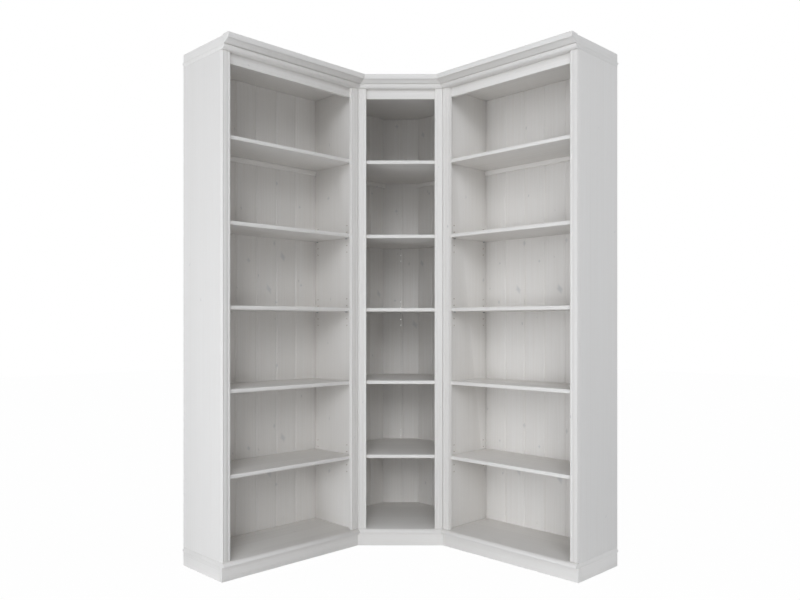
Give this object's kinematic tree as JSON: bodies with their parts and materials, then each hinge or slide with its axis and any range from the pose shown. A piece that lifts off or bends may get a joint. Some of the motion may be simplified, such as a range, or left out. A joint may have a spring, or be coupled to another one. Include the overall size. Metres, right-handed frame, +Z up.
{
  "type": "corner shelf unit",
  "caption": "Tall white-washed pine corner library: a shelf tower along each wall and a diagonal-fronted corner unit between them, with fluted stiles, plinth and crown moulding.",
  "frame": {"origin": "on the floor, under the middle of the footprint's square", "axes": "+Z up; the two room walls are at greatest +X and greatest +Y, so the room corner is at +X +Y and the fronts face -X, -Y and the diagonal between them"},
  "size_m": [1.354, 1.354, 2.243],
  "materials": {
    "frame_paint": "painted satin",
    "shelf_paint": "painted satin",
    "back_paint": "painted satin"
  },
  "bodies": {
    "root": {"left_tower_outer_side": "frame_paint", "left_tower_inner_side": "frame_paint", "left_tower_outer_stile": "frame_paint", "left_tower_inner_stile": "frame_paint", "left_tower_bottom_deck": "frame_paint", "left_tower_top_deck": "frame_paint", "left_tower_frieze_rail": "frame_paint", "left_tower_crown_moulding": "frame_paint", "left_tower_crown_side": "frame_paint", "left_tower_plinth_front": "frame_paint", "left_tower_plinth_outer_side": "frame_paint", "left_tower_plinth_inner_side": "frame_paint", "right_tower_outer_side": "frame_paint", "right_tower_inner_side": "frame_paint", "right_tower_outer_stile": "frame_paint", "right_tower_inner_stile": "frame_paint", "right_tower_bottom_deck": "frame_paint", "right_tower_top_deck": "frame_paint", "right_tower_frieze_rail": "frame_paint", "right_tower_crown_moulding": "frame_paint", "right_tower_crown_side": "frame_paint", "right_tower_plinth_front": "frame_paint", "right_tower_plinth_outer_side": "frame_paint", "right_tower_plinth_inner_side": "frame_paint", "corner_left_side": "frame_paint", "corner_right_side": "frame_paint", "corner_bottom_deck": "frame_paint", "corner_top_deck": "frame_paint", "corner_left_plinth": "frame_paint", "corner_right_plinth": "frame_paint", "corner_left_stile": "frame_paint", "corner_right_stile": "frame_paint", "corner_frieze_rail": "frame_paint", "corner_crown_moulding": "frame_paint", "corner_plinth_front": "frame_paint", "left_tower_shelf_1": "shelf_paint", "left_tower_shelf_2": "shelf_paint", "left_tower_shelf_3": "shelf_paint", "left_tower_shelf_4": "shelf_paint", "left_tower_shelf_5": "shelf_paint", "right_tower_shelf_1": "shelf_paint", "right_tower_shelf_2": "shelf_paint", "right_tower_shelf_3": "shelf_paint", "right_tower_shelf_4": "shelf_paint", "right_tower_shelf_5": "shelf_paint", "corner_shelf_1": "shelf_paint", "corner_shelf_2": "shelf_paint", "corner_shelf_3": "shelf_paint", "corner_shelf_4": "shelf_paint", "corner_shelf_5": "shelf_paint", "left_tower_back_boards": "back_paint", "left_tower_back_batten": "back_paint", "right_tower_back_boards": "back_paint", "right_tower_back_batten": "back_paint", "corner_left_wall_boards": "back_paint", "corner_right_wall_boards": "back_paint", "corner_centre_boards": "back_paint", "corner_left_batten": "back_paint", "corner_right_batten": "back_paint"}
  },
  "joints": []
}
